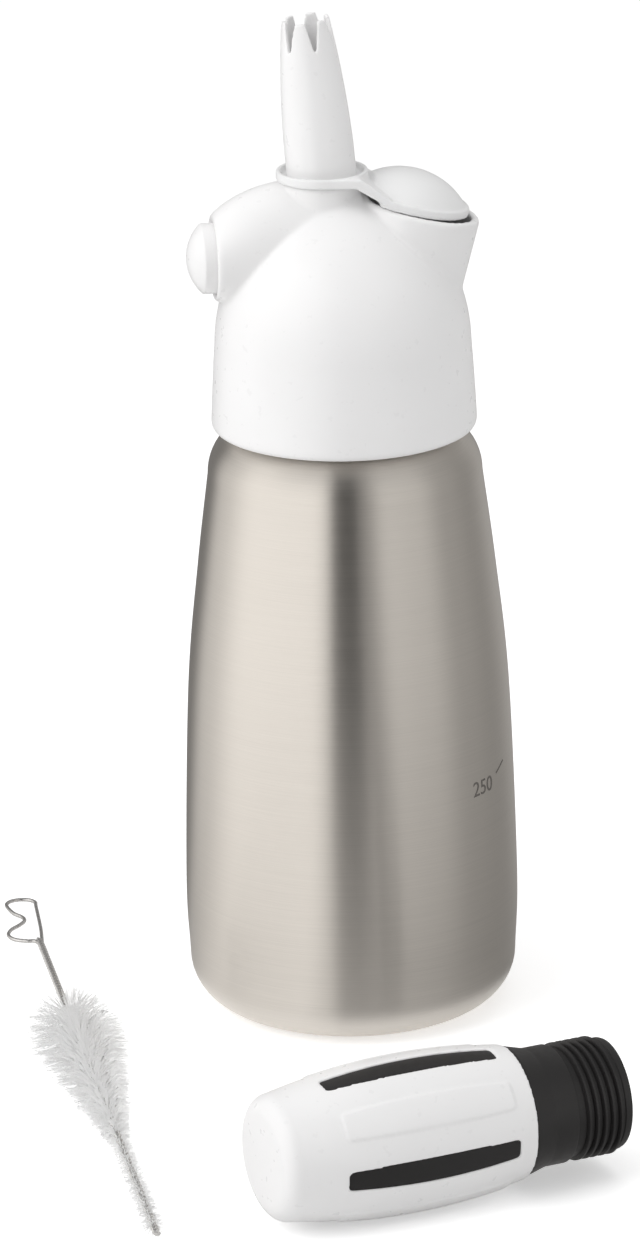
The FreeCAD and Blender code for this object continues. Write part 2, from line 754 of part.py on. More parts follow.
def make_brush_loop():
    """The bent handle of single wire, with a notch in one side for the finger."""
    foot = brush_length
    top = foot + loop_length
    points = [
        V(0, 0, foot),
        V(loop_right, 0, top - loop_length * 0.13),
        V(loop_right * 0.8, 0, top - loop_length * 0.04),
        V(-loop_top_left * 0.7, 0, top),
        V(-loop_top_left, 0, top - loop_length * 0.13),
        V(-loop_notch, 0, foot + loop_length * 0.48),
        V(-loop_left, 0, foot + loop_length * 0.24),
        V(-loop_left, 0, foot + loop_length * 0.06),
        V(0, 0, foot),
    ]
    solid = None
    for a, b in zip(points, points[1:]):
        piece = rod(loop_wire_r, (b - a).Length, a, b - a).fuse(Part.makeSphere(loop_wire_r, b))
        solid = piece if solid is None else solid.fuse(piece)
    return lay_brush(solid.cut(Part.makeCylinder(brush_wire_r, foot)))


def make_brush_bristles():
    end = bristle_start + bristle_length
    stem_r = brush_wire_r + static_gap
    cone = revolve_z(
        [
            (stem_r, bristle_start),
            (bristle_small_r, bristle_start),
            (bristle_big_r, end - bristle_widest_from_end),
            (bristle_big_r * bristle_shoulder_share, end - bristle_shoulder_from_end),
            (bristle_top_r, end),
            (stem_r, end),
        ]
    )
    return lay_brush(cone.cut(big_block(V(0, fine_bristle_r + part_length, 0))))


def make_brush_tip():
    tube = Part.makeCylinder(fine_bristle_r, fine_bristle_length, V(0, 0, fine_bristle_start))
    return lay_brush(tube.cut(Part.makeCylinder(brush_wire_r + static_gap, brush_length)))


makers = {
    "bottle": make_bottle,
    "head_shell": make_head_shell,
    "head_gasket": make_head_gasket,
    "nozzle": make_nozzle,
    "tether_ring": make_tether_ring,
    "port_lid": make_port_lid,
    "push_button": make_push_button,
    "valve_stem": make_valve_stem,
    "poppet_seal": make_poppet_seal,
    "stem_o_ring": make_stem_o_ring,
    "valve_cartridge": make_valve_cartridge,
    "cartridge_o_ring": make_cartridge_o_ring,
    "return_spring": make_return_spring,
    "pin_carrier": make_pin_carrier,
    "piercing_pin": make_piercing_pin,
    "port_seal": make_port_seal,
    "check_flap": make_check_flap,
    "holder_sleeve": make_holder_sleeve,
    "holder_cover": make_holder_cover,
    "brush_wire": make_brush_wire,
    "brush_loop": make_brush_loop,
    "brush_bristles": make_brush_bristles,
    "brush_tip_bristles": make_brush_tip,
}

os.makedirs("parts", exist_ok=True)
for name, maker in makers.items():
    solid = maker()
    print(name, "valid", solid.isValid(), "solids", len(solid.Solids), "volume %.1f" % solid.Volume)
    solid.exportStep("parts/" + name + ".step")
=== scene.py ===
import math
import random

import bmesh
import bpy
from bpy.props import FloatProperty, FloatVectorProperty, IntProperty, PointerProperty
from mathutils import Matrix, Vector


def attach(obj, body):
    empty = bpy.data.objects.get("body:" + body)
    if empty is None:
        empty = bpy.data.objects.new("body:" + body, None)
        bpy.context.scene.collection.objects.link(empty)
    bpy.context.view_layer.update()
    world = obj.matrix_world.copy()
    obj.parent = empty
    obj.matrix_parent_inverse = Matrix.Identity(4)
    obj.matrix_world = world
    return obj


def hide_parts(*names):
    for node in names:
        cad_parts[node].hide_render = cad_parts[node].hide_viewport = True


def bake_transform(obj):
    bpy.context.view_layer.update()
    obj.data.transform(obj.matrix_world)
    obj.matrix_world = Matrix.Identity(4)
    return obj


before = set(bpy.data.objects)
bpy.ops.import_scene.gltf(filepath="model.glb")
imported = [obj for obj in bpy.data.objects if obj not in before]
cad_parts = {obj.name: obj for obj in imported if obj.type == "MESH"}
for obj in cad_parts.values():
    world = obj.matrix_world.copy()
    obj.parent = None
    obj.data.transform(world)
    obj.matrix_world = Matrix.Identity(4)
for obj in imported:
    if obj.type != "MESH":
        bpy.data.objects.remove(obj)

bl_info = {
    "name": "Cream Whipper",
    "version": (1, 0, 0),
    "blender": (4, 5, 0),
    "location": "View3D > Sidebar > Whipper",
    "description": "Dresses the cream whipper's frame with its finished pieces",
    "category": "Add Mesh",
}

MM = 0.001
Z_AXIS = Vector((0, 0, 1))

# The bottle's side between foot and shoulder: height, and how far inside the widest radius.
SIDE_MARKS = ((30.0, 0.0), (76.0, 1.5), (104.6, 4.3))
# The shallow groove in the flat foot: radius and height.
FOOT_GROOVE = ((17.0, 0), (17.15, 0.5), (18.85, 0.5), (19.0, 0))
# Where the fill mark is etched: degrees round the bottle, and height.
MARK_TURN = 51.0
MARK_Z = 56.0
# The charger port's rim: a point of its axis and how far the axis leans, in degrees.
PORT_RIM = Vector((17.2, 0, 187.1))
PORT_TILT = 14.5
# The lid sinks this far toward the rim, past this X and below this height over it.
LID_SINK = 0.2
LID_FROM_X = 4.2
LID_UNDERSIDE = 0.7
# The long bristles' reach along the stem: place and radius.
CONE_MARKS = ((54.0, 3.2), (112.0, 11.7), (122.0, 11.6), (130.0, 8.8))
TIP_REACH = 2.7
BRISTLE_R = 0.1
BRISTLE_PITCH = 5.2
# The camera: degrees that it turns, looks down and rolls, lens and sidestep in millimetres.
CAMERA_TURN = -8.0
CAMERA_PITCH = 18.76
CAMERA_ROLL = -1.04
CAMERA_LENS = 200.1
CAMERA_SIDESTEP = -6.3
# The strength of the floor's own glow and of the world's light.
GLOW = 0.42

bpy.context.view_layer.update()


def size(label, default, about):
    """A length in millimetres that a user may change."""
    return FloatProperty(name=label, default=default, min=0.0, description=about + ", in millimetres")


def size_signed(label, default, about):
    """A coordinate in millimetres."""
    return FloatProperty(name=label, default=default, description=about + ", in millimetres")


def angle(label, degrees, about):
    """An angle, given here in degrees."""
    return FloatProperty(name=label, default=math.radians(degrees), subtype="ANGLE", description=about)


def count(label, default, least, about):
    """A whole number."""
    return IntProperty(name=label, default=default, min=least, description=about)


def tint(label, default, about):
    """A colour that a user may change."""
    return FloatVectorProperty(
        name=label, default=default, size=4, min=0.0, max=1.0, subtype="COLOR", description=about
    )


class WhipperBottle(bpy.types.PropertyGroup):
    max_r: size("Widest radius", 38.0, "Outside radius of the bottle at its widest")
    foot_r: size("Foot radius", 26.4, "Radius of the flat foot")
    foot_corner_r: size("Foot corner", 11.0, "Radius of the corner round the foot")
    shoulder_r: size("Shoulder radius", 31.0, "Outside radius where the shoulder starts")
    shoulder_z: size("Shoulder height", 126.0, "Height where the shoulder starts")
    neck_r: size("Neck radius", 24.5, "Outside radius of the neck")
    neck_z: size("Neck start", 136.3, "Height where the neck starts")
    top_z: size("Mouth height", 157.0, "Height of the mouth")
    wall: size("Wall", 1.1, "Thickness of the sheet")
    steel: tint("Steel", (0.67, 0.635, 0.59, 1.0), "Colour of the brushed steel")
    ink: tint("Mark", (0.12, 0.11, 0.1, 1.0), "Colour of the etched fill mark")


class WhipperHead(bpy.types.PropertyGroup):
    voxel: size("Voxel", 0.45, "Grain of the moulded surface")
    passes: count("Smoothing", 5, 0, "Passes that round its edges")
    white: tint("White", (0.885, 0.88, 0.88, 1.0), "Colour of the hard white plastic")
    soft_white: tint("Soft white", (0.84, 0.84, 0.84, 1.0), "Colour of the soft lid and strap")
    rubber: tint("Rubber", (0.05, 0.05, 0.055, 1.0), "Colour of the seals")
    brass: tint("Brass", (0.62, 0.44, 0.2, 1.0), "Colour of the turned inserts")


class WhipperHolder(bpy.types.PropertyGroup):
    black: tint("Black", (0.018, 0.017, 0.017, 1.0), "Colour of the black sleeve")
    pitch: size("Thread pitch", 1.9, "Distance from one turn of the thread to the next")
    end_x: size_signed("End X", -39.5, "Where the closed end lies")
    end_y: size_signed("End Y", -134.0, "Where the closed end lies")
    yaw: angle("Yaw", 16.4, "How the holder lies")
    length: size("Length", 82.0, "Whole length")
    cover_length: size("Cover length", 58.0, "Length of the white cover")
    axis_z: size("Axis height", 16.7, "Height of the axis over the floor")


class WhipperBrush(bpy.types.PropertyGroup):
    x: size_signed("Tip X", -62.8, "Where the tip lies")
    y: size_signed("Tip Y", -137.0, "Where the tip lies")
    yaw: angle("Yaw", 2.0, "How the brush lies")
    axis_z: size("Axis height", 3.0, "Height of the stem over the floor")
    length: size("Stem length", 174.9, "Length of the twisted stem")
    loop_length: size("Loop length", 27.0, "Length of the bent handle")
    wire_r: size("Wire radius", 0.45, "Radius of each of the two twisted wires")
    pitch: size("Twist pitch", 3.2, "Length of one whole twist")
    hairs: count("Bristles", 2600, 10, "Number of long bristles")
    fine_hairs: count("Tip bristles", 900, 10, "Number of short bristles")
    wire: tint("Wire", (0.66, 0.65, 0.64, 1.0), "Colour of the wire")
    nylon: tint("Nylon", (0.98, 0.98, 0.98, 1.0), "Colour of the bristles")


class WhipperStage(bpy.types.PropertyGroup):
    distance: size("Camera distance", 1500.0, "Distance over the ground from the bottle to the camera")
    height: size("Camera height", 598.1, "Height of the camera")
    white: tint("Floor", (0.93, 0.93, 0.93, 1.0), "Colour of the floor")


def arc(a, b, c, count):
    """Points of the circle arc from a through b to c, in the outline's plane."""
    ax, ay = a
    bx, by = b
    cx, cy = c
    d = 2 * (ax * (by - cy) + bx * (cy - ay) + cx * (ay - by))
    ux = (ax**2 + ay**2) * (by - cy) + (bx**2 + by**2) * (cy - ay) + (cx**2 + cy**2) * (ay - by)
    uy = (ax**2 + ay**2) * (cx - bx) + (bx**2 + by**2) * (ax - cx) + (cx**2 + cy**2) * (bx - ax)
    centre = Vector((ux / d, uy / d))
    r = (Vector(a) - centre).length
    start = math.atan2(ay - centre.y, ax - centre.x)
    middle = (math.atan2(by - centre.y, bx - centre.x) - start) % math.tau
    end = (math.atan2(cy - centre.y, cx - centre.x) - start) % math.tau
    if middle > end:
        end -= math.tau
    steps = [start + end * i / count for i in range(count + 1)]
    return [(centre.x + r * math.cos(t), centre.y + r * math.sin(t)) for t in steps]


def flowing(points, count):
    """Points of a smooth curve through the given ones, count between each two."""
    ends = [tuple(2 * Vector(points[0]) - Vector(points[1])), *points]
    ends.append(tuple(2 * Vector(points[-1]) - Vector(points[-2])))

    def between(a, b, c, d, t):
        bow = (2 * a - 5 * b + 4 * c - d) * t**2
        return 0.5 * (2 * b + (c - a) * t + bow + (3 * b - a - 3 * c + d) * t**3)

    out = [points[0]]
    for four in zip(ends, ends[1:], ends[2:], ends[3:]):
        for i in range(1, count + 1):
            out.append(tuple(between(*values, i / count) for values in zip(*four)))
    return out


def chain(bm, outline):
    """A run of edges in the XZ plane, from (radius, height) pairs in millimetres."""
    verts = [bm.verts.new((r * MM, 0, z * MM)) for r, z in outline]
    edges = [bm.edges.new(pair) for pair in zip(verts, verts[1:])]
    return verts + edges


def turned(outline, steps=128):
    """A bmesh turned about Z from a closed or axis-to-axis outline."""
    bm = bmesh.new()
    geom = chain(bm, outline)
    bmesh.ops.spin(
        bm, geom=geom, cent=(0, 0, 0), axis=(0, 0, 1), angle=math.tau, steps=steps, use_merge=True
    )
    bmesh.ops.remove_doubles(bm, verts=bm.verts, dist=1e-7)
    bmesh.ops.recalc_face_normals(bm, faces=bm.faces)
    return bm


def thread_rib(root_r, crest_r, start, turns, pitch, steps=72):
    """A screw thread: a rib swept round Z as it climbs, in a bmesh."""
    bm = bmesh.new()
    half = pitch * 0.34
    outline = [
        (root_r - 0.3, start - half),
        (root_r, start - half),
        (crest_r, start - half * 0.35),
        (crest_r, start + half * 0.35),
        (root_r, start + half),
        (root_r - 0.3, start + half),
    ]
    geom = chain(bm, outline + outline[:1])
    bmesh.ops.remove_doubles(bm, verts=bm.verts, dist=1e-7)
    face = bmesh.ops.edgeloop_fill(bm, edges=bm.edges[:])["faces"]
    count = int(steps * turns)
    bmesh.ops.spin(
        bm,
        geom=face + bm.edges[:] + bm.verts[:],
        cent=(0, 0, 0),
        axis=(0, 0, 1),
        dvec=(0, 0, pitch * MM / steps),
        angle=math.tau * turns,
        steps=count,
        use_merge=False,
    )
    bmesh.ops.recalc_face_normals(bm, faces=bm.faces)
    return bm


def cad_copy(*nodes):
    """The merged mesh of one or more CAD nodes, in a bmesh of its own."""
    bm = bmesh.new()
    for node in nodes:
        part = bmesh.new()
        part.from_mesh(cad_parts[node].data)
        bmesh.ops.remove_doubles(part, verts=part.verts, dist=2e-6)
        mesh = bpy.data.meshes.new("copy")
        part.to_mesh(mesh)
        part.free()
        bm.from_mesh(mesh)
        bpy.data.meshes.remove(mesh)
    return bm


def to_object(name, bm, smooth_angle=35.0):
    """Makes an object of a bmesh, smooth except over sharp edges."""
    mesh = bpy.data.meshes.new(name)
    limit = math.radians(smooth_angle)
    for edge in bm.edges:
        edge.smooth = len(edge.link_faces) != 2 or edge.calc_face_angle(0.0) < limit
    for face in bm.faces:
        face.smooth = True
    bm.to_mesh(mesh)
    bm.free()
    piece = bpy.data.objects.new(name, mesh)
    bpy.context.scene.collection.objects.link(piece)
    return piece


def dress(piece, body, slot, material, *nodes):
    """Gives a piece its material and its body, and hides the CAD nodes it stands for; the slot is not
    used.
    """
    piece.data.materials.clear()
    piece.data.materials.append(material)
    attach(piece, body)
    if nodes:
        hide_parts(*nodes)
    return piece


def moulded(name, bm, voxel, passes):
    """Remeshes a closed form finely and rounds its edges, as a moulding's are."""
    piece = to_object(name, bm)
    remesh = piece.modifiers.new("Remesh", "REMESH")
    remesh.mode = "VOXEL"
    remesh.voxel_size = voxel * MM
    bpy.context.view_layer.update()
    graph = bpy.context.evaluated_depsgraph_get()
    mesh = bpy.data.meshes.new_from_object(piece.evaluated_get(graph))
    piece.modifiers.clear()
    smooth = bmesh.new()
    smooth.from_mesh(mesh)
    bpy.data.meshes.remove(mesh)
    for _ in range(passes):
        bmesh.ops.smooth_vert(
            smooth, verts=smooth.verts, factor=0.5, use_axis_x=True, use_axis_y=True, use_axis_z=True
        )
    for face in smooth.faces:
        face.smooth = True
    smooth.to_mesh(piece.data)
    smooth.free()
    return piece


class Nodes:
    """Small helper that builds a material's node tree."""

    def __init__(self, name):
        self.material = bpy.data.materials.new(name)
        self.material.use_nodes = True
        self.tree = self.material.node_tree
        self.shader = self.tree.nodes["Principled BSDF"]
        self.coords = self.add("ShaderNodeTexCoord")

    def add(self, kind, **values):
        node = self.tree.nodes.new(kind)
        for key, value in values.items():
            if hasattr(node, key):
                setattr(node, key, value)
            else:
                node.inputs[key.replace("_", " ").title()].default_value = value
        return node

    def link(self, source, target):
        self.tree.links.new(source, target)

    def noise(self, scale, stretch=(1, 1, 1), detail=3.0, roughness=0.55):
        """Noise on object coordinates, stretched along the axes."""
        mapping = self.add("ShaderNodeMapping")
        mapping.inputs["Scale"].default_value = stretch
        self.link(self.coords.outputs["Object"], mapping.inputs["Vector"])
        noise = self.add("ShaderNodeTexNoise")
        noise.inputs["Scale"].default_value = scale
        noise.inputs["Detail"].default_value = detail
        noise.inputs["Roughness"].default_value = roughness
        self.link(mapping.outputs["Vector"], noise.inputs["Vector"])
        return noise.outputs["Fac"]

    def vary(self, factor, low, high, target):
        """Runs a factor between two numbers into a shader socket."""
        span = self.add("ShaderNodeMapRange")
        span.inputs["From Min"].default_value = 0.3
        span.inputs["From Max"].default_value = 0.7
        span.inputs["To Min"].default_value = low
        span.inputs["To Max"].default_value = high
        self.link(factor, span.inputs["Value"])
        self.link(span.outputs["Result"], self.shader.inputs[target])

    def shades(self, factor, dark, light):
        """Runs a factor between two colours into the base colour."""
        ramp = self.add("ShaderNodeValToRGB")
        ramp.color_ramp.elements[0].position = 0.3
        ramp.color_ramp.elements[1].position = 0.7
        ramp.color_ramp.elements[0].color = dark
        ramp.color_ramp.elements[1].color = light
        self.link(factor, ramp.inputs["Fac"])
        self.link(ramp.outputs["Color"], self.shader.inputs["Base Color"])

    def bump(self, factor, strength, distance):
        bump = self.add("ShaderNodeBump")
        bump.inputs["Strength"].default_value = strength
        bump.inputs["Distance"].default_value = distance * MM
        self.link(factor, bump.inputs["Height"])
        self.link(bump.outputs["Normal"], self.shader.inputs["Normal"])

    def set(self, **values):
        for key, value in values.items():
            self.shader.inputs[key.replace("_", " ")].default_value = value
        return self.material


def scaled(colour, factor):
    return tuple(min(1.0, c * factor) for c in colour[:3]) + (1.0,)


def brushed_steel(name, colour):
    """Steel brushed round the bottle: fine level scratches, long and shallow."""
    n = Nodes(name)
    fine = n.noise(1.0, (50, 50, 6500), 2.0)
    broad = n.noise(1.0, (16, 16, 1300), 3.0)
    mix = n.add("ShaderNodeMix")
    mix.inputs[0].default_value = 0.2
    n.link(fine, mix.inputs[2])
    n.link(broad, mix.inputs[3])
    n.shades(mix.outputs[0], scaled(colour, 0.955), scaled(colour, 1.045))
    n.vary(fine, 0.34, 0.42, "Roughness")
    n.bump(fine, 0.12, 0.01)
    tangent = n.add("ShaderNodeTangent", direction_type="RADIAL", axis="Z")
    n.link(tangent.outputs["Tangent"], n.shader.inputs["Tangent"])
    return n.set(Metallic=1.0, Anisotropic=0.96, Anisotropic_Rotation=0.25)


def plastic(name, colour, rough=0.32, grain=0.02, translucent=0.0):
    """Satin moulded plastic with a faint orange-peel surface and slight colour drift."""
    n = Nodes(name)
    drift = n.noise(38.0, detail=2.0)
    n.shades(drift, scaled(colour, 0.985), scaled(colour, 1.015))
    n.vary(n.noise(520.0, detail=2.0), rough - 0.03, rough + 0.05, "Roughness")
    n.bump(n.noise(420.0, detail=1.0), 0.035, grain)
    material = n.set(Specular_IOR_Level=0.35)
    if translucent:
        n.set(Subsurface_Weight=translucent, Subsurface_Scale=0.5)
        n.set(Subsurface_Radius=(0.004, 0.004, 0.004))
    return material


def turned_metal(name, colour, rough=0.22):
    """Bright turned or drawn metal."""
    n = Nodes(name)
    n.shades(n.noise(900.0), scaled(colour, 0.9), scaled(colour, 1.1))
    n.vary(n.noise(2400.0), rough - 0.05, rough + 0.08, "Roughness")
    n.bump(n.noise(3000.0), 0.1, 0.01)
    return n.set(Metallic=1.0)


def seal_rubber(name, colour):
    """Matt rubber with a powdery bloom."""
    n = Nodes(name)
    n.shades(n.noise(700.0), scaled(colour, 0.85), scaled(colour, 1.3))
    n.vary(n.noise(900.0), 0.55, 0.75, "Roughness")
    n.bump(n.noise(2200.0), 0.3, 0.02)
    return n.set(Specular_IOR_Level=0.3)


materials = {}


def build_materials(scene):
    bottle, head = scene.whipper_bottle, scene.whipper_head
    holder, brush = scene.whipper_holder, scene.whipper_brush
    materials["steel"] = brushed_steel("brushed_steel", bottle.steel)
    materials["ink"] = plastic("etched_mark", bottle.ink, 0.5)
    materials["white"] = plastic("white_plastic", head.white, 0.3)
    materials["soft_white"] = plastic("soft_white_plastic", head.soft_white, 0.36, 0.03, 0.08)
    materials["rubber"] = seal_rubber("seal_rubber", head.rubber)
    materials["brass"] = turned_metal("turned_brass", head.brass)
    materials["black"] = plastic("black_plastic", holder.black, 0.42, 0.03)
    materials["wire"] = turned_metal("drawn_wire", brush.wire, 0.26)
    materials["nylon"] = plastic("nylon_bristle", brush.nylon, 0.4, 0.01, 0.4)


def bottle_outline(p):
    """The bottle's outside from the axis to the mouth, then its inside back to the axis."""
    corner_r = p.foot_r + p.foot_corner_r
    dip = (1 - math.sqrt(0.5)) * p.foot_corner_r
    side = [(corner_r, p.foot_corner_r)]
    side += [(p.max_r - inset, z) for z, inset in SIDE_MARKS]
    side.append((p.shoulder_r, p.shoulder_z))
    outside = [(0, 0), *FOOT_GROOVE]
    outside += arc((p.foot_r, 0), (corner_r - dip, dip), (corner_r, p.foot_corner_r), 12)
    outside += flowing(side, 12)[1:]
    shoulder = arc(
        (p.shoulder_r, p.shoulder_z), (p.shoulder_r - 2.3, 133.1), (p.neck_r + 0.6, p.neck_z), 10
    )
    outside += shoulder[1:]
    outside += arc(
        (p.neck_r + 0.5, p.neck_z), (p.neck_r + 0.12, p.neck_z + 0.2), (p.neck_r, p.neck_z + 0.8), 4
    )
    half = p.wall / 2
    mouth = arc(
        (p.neck_r, p.top_z - half), (p.neck_r - half, p.top_z), (p.neck_r - p.wall, p.top_z - half), 8
    )
    inside = [(p.neck_r - p.wall, p.neck_z - 0.6)]
    inside += [(r - p.wall, z - 0.5) for r, z in reversed(shoulder[:-1])]
    inside += [(r - p.wall, z) for r, z in reversed(flowing(side, 4)[:-1])]
    inside += [(p.foot_r, p.wall + 0.4), (p.foot_r - 3, p.wall), (0, p.wall)]
    return outside + mouth + inside


def side_at(p, z):
    """The bottle's outside radius at a height, both in millimetres."""
    side = [q for q in bottle_outline(p) if q[0] > p.neck_r + 1]
    return max(
        r0 + (r1 - r0) * (z - z0) / (z1 - z0)
        for (r0, z0), (r1, z1) in zip(side, side[1:])
        if z0 <= z < z1
    )


def fill_mark(scene):
    """The fill line and its plain number, etched into the side of the bottle."""
    p = scene.whipper_bottle
    curve = bpy.data.curves.new("fill_mark", "FONT")
    curve.body = "250"
    curve.size = 5.0 * MM
    curve.extrude = 0.02 * MM
    curve.align_x = "RIGHT"
    text = bpy.data.objects.new("fill_mark_text", curve)
    scene.collection.objects.link(text)
    bpy.context.view_layer.update()
    mesh = bpy.data.meshes.new_from_object(text.evaluated_get(bpy.context.evaluated_depsgraph_get()))
    bpy.data.objects.remove(text)
    bm = bmesh.new()
    bm.from_mesh(mesh)
    bpy.data.meshes.remove(mesh)
    dash = bmesh.ops.create_cube(bm, size=1.0)["verts"]
    bmesh.ops.scale(bm, vec=(4.4 * MM, 0.38 * MM, 0.06 * MM), verts=dash)
    bmesh.ops.rotate(bm, cent=(0, 0, 0), matrix=Matrix.Rotation(math.radians(24), 3, "Z"), verts=dash)
    bmesh.ops.translate(bm, vec=(4.0 * MM, 4.0 * MM, 0), verts=dash)
    cuts = [e for e in bm.edges if e.calc_length() > 0.5 * MM]
    bmesh.ops.subdivide_edges(bm, edges=cuts, cuts=2)
    mark_turn = math.radians(MARK_TURN)
    side_r = (p.max_r - 0.55) * MM
    for v in bm.verts:
        turn = mark_turn + v.co.x / side_r
        r = side_at(p, MARK_Z + v.co.y / MM) * MM + v.co.z + 0.02 * MM
        v.co = Vector((r * math.sin(turn), -r * math.cos(turn), MARK_Z * MM + v.co.y))
    bmesh.ops.remove_doubles(bm, verts=bm.verts, dist=1e-7)
    bmesh.ops.recalc_face_normals(bm, faces=bm.faces)
    return to_object("fill_mark", bm)


class WHIPPER_OT_bottle(bpy.types.Operator):
    """Turns the steel bottle, its neck thread and its fill mark"""

    bl_idname = "whipper.bottle"
    bl_label = "Bottle"

    def execute(self, context):
        p = context.scene.whipper_bottle
        bottle = to_object("bottle_shell", turned(bottle_outline(p), 192), 50)
        dress(bottle, "bottle", "steel", materials["steel"], "bottle")
        rib = thread_rib(p.neck_r, p.neck_r + 0.22, 141.5, 3.0, 4.0)
        dress(to_object("neck_thread", rib), "bottle", "steel", materials["steel"])
        dress(fill_mark(context.scene), "bottle", "steel", materials["ink"])
        return {"FINISHED"}


class WHIPPER_OT_head(bpy.types.Operator):
    """Moulds the white head and finishes the valve's pieces inside it"""

    bl_idname = "whipper.head"
    bl_label = "Head"

    def execute(self, context):
        p = context.scene.whipper_head
        shell = moulded("head_moulding", cad_copy("head_shell"), p.voxel, p.passes)
        dress(shell, "head", "white_plastic", materials["white"], "head_shell")
        nozzle = moulded("nozzle_moulding", cad_copy("nozzle"), 0.3, 2)
        dress(nozzle, "head", "white_plastic", materials["white"], "nozzle")
        finishes = {
            "head_gasket": "rubber",
            "valve_stem": "wire",
            "poppet_seal": "rubber",
            "stem_o_ring": "rubber",
            "valve_cartridge": "brass",
            "cartridge_o_ring": "rubber",
            "return_spring": "wire",
            "pin_carrier": "brass",
            "piercing_pin": "wire",
            "port_seal": "rubber",
            "check_flap": "rubber",
        }
        for node, finish in finishes.items():
            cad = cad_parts[node]
            cad.data.materials.clear()
            cad.data.materials.append(materials[finish])
        return {"FINISHED"}


class WHIPPER_OT_button(bpy.types.Operator):
    """Moulds the round push button and makes a copy of its return spring"""

    bl_idname = "whipper.button"
    bl_label = "Push button"

    def execute(self, context):
        button = moulded("button_moulding", cad_copy("push_button"), 0.25, 3)
        dress(button, "button", "white_plastic", materials["white"], "push_button")
        spring = to_object("spring_coil", cad_copy("return_spring"), 60)
        spring.data.materials.clear()
        spring.data.materials.append(materials["wire"])
        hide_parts("return_spring")
        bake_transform(spring)
        return {"FINISHED"}


class WHIPPER_OT_lid(bpy.types.Operator):
    """Moulds the ring, strap and lid as one soft piece and sinks the lid's underside a little toward
    the rim
    """

    bl_idname = "whipper.lid"
    bl_label = "Tethered lid"

    def execute(self, context):
        tether = moulded("tether_moulding", cad_copy("tether_ring", "port_lid"), 0.3, 3)
        rim = PORT_RIM * MM
        tilt = math.radians(PORT_TILT)
        axis = Vector((math.sin(tilt), 0, math.cos(tilt)))
        for v in tether.data.vertices:
            if v.co.x > LID_FROM_X * MM and (v.co - rim).dot(axis) < LID_UNDERSIDE * MM:
                v.co -= axis * LID_SINK * MM
        tether.data.materials.clear()
        tether.data.materials.append(materials["soft_white"])
        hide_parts("tether_ring", "port_lid")
        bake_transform(tether)
        return {"FINISHED"}


def lay(bm, p, turn):
    """Lays a form made along +Z down on the floor: the holder about Y, the brush about X."""
    tip = Matrix.Rotation(math.radians(90 if turn == "Y" else -90), 3, turn)
    bmesh.ops.rotate(bm, cent=(0, 0, 0), matrix=tip, verts=bm.verts)
    bmesh.ops.rotate(bm, cent=(0, 0, 0), matrix=Matrix.Rotation(p.yaw, 3, "Z"), verts=bm.verts)
    x, y = (p.end_x, p.end_y) if turn == "Y" else (p.x, p.y)
    bmesh.ops.translate(bm, vec=(x * MM, y * MM, p.axis_z * MM), verts=bm.verts)
    return bm


def neck_outline(c, end):
    """The sleeve past the cover, from the cover's mouth at c to its open end, as a closed outline."""
    return [
        (11.2, c - 1.5),
        (11.2, c + 0.1),
        (14.4, c + 0.1),
        (14.4, c + 0.4),
        (14.15, c + 1.2),
        (13.1, c + 5.0),
        (13.0, c + 5.6),
        (13.0, c + 10.2),
        (12.85, c + 10.6),
        (12.1, c + 10.9),
        (12.1, end - 2.0),
        (12.3, end - 1.8),
        (12.3, end - 0.8),
        (12.05, end - 0.2),
        (11.5, end),
        (9.9, end),
        (9.4, end - 0.15),
        (9.2, end - 0.6),
        (9.2, c - 1.5),
        (11.2, c - 1.5),
    ]


class WHIPPER_OT_holder(bpy.types.Operator):
    """Moulds the charger holder's white cover and black sleeve and cuts its thread"""

    bl_idname = "whipper.holder"
    bl_label = "Charger holder"

    def execute(self, context):
        p = context.scene.whipper_holder
        cover = moulded("cover_moulding", cad_copy("holder_cover"), 0.35, 2)
        dress(cover, "charger_holder", "white_plastic", materials["white"], "holder_cover")
        strips = cad_copy("holder_sleeve")
        start = Vector((p.end_x, p.end_y, p.axis_z)) * MM
        along = Vector((math.cos(p.yaw), math.sin(p.yaw), 0))
        geom = strips.verts[:] + strips.edges[:] + strips.faces[:]
        place = start + along * (p.cover_length - 0.6) * MM
        cut = bmesh.ops.bisect_plane(
            strips, geom=geom, plane_co=place, plane_no=along, clear_outer=True
        )
        rim = [e for e in cut["geom_cut"] if isinstance(e, bmesh.types.BMEdge)]
        bmesh.ops.holes_fill(strips, edges=rim)
        inner = to_object("sleeve_core", strips)
        dress(inner, "charger_holder", "black_plastic", materials["black"], "holder_sleeve")
        neck = turned(neck_outline(p.cover_length, p.length), 160)
        sleeve = to_object("sleeve_neck", lay(neck, p, "Y"))
        dress(sleeve, "charger_holder", "black_plastic", materials["black"])
        rib = thread_rib(12.1, 13.0, p.cover_length + 11.9, 5.2, p.pitch, 96)
        thread = to_object("sleeve_thread", lay(rib, p, "Y"), 60)
        dress(thread, "charger_holder", "black_plastic", materials["black"])
        return {"FINISHED"}


def tube(bm, points, radius, sides=10):
    """A round tube of even radius along points, in a bmesh."""
    points = [Vector(q) for q in points]
    ahead = (points[1] - points[0]).normalized()
    side = ahead.orthogonal().normalized()
    rings = []
    for i, point in enumerate(points):
        ahead = direction(points, i)
        side = (side - ahead * side.dot(ahead)).normalized()
        rings.append(ring_of(bm, point, side, ahead.cross(side), radius, sides))
    skin(bm, rings)


def hair(bm, points, thick, sides=3):
    """One bristle: a thin tapering strand along a few points."""
    rings = []
    for i, point in enumerate(points):
        ahead = direction(points, i)
        side = ahead.orthogonal().normalized()
        r = thick * (1 - 0.35 * i / (len(points) - 1))
        rings.append(ring_of(bm, point, side, ahead.cross(side), r, sides))
    skin(bm, rings)


def direction(points, i):
    """Which way a run of points goes at one of them."""
    return (points[min(i + 1, len(points) - 1)] - points[max(i - 1, 0)]).normalized()


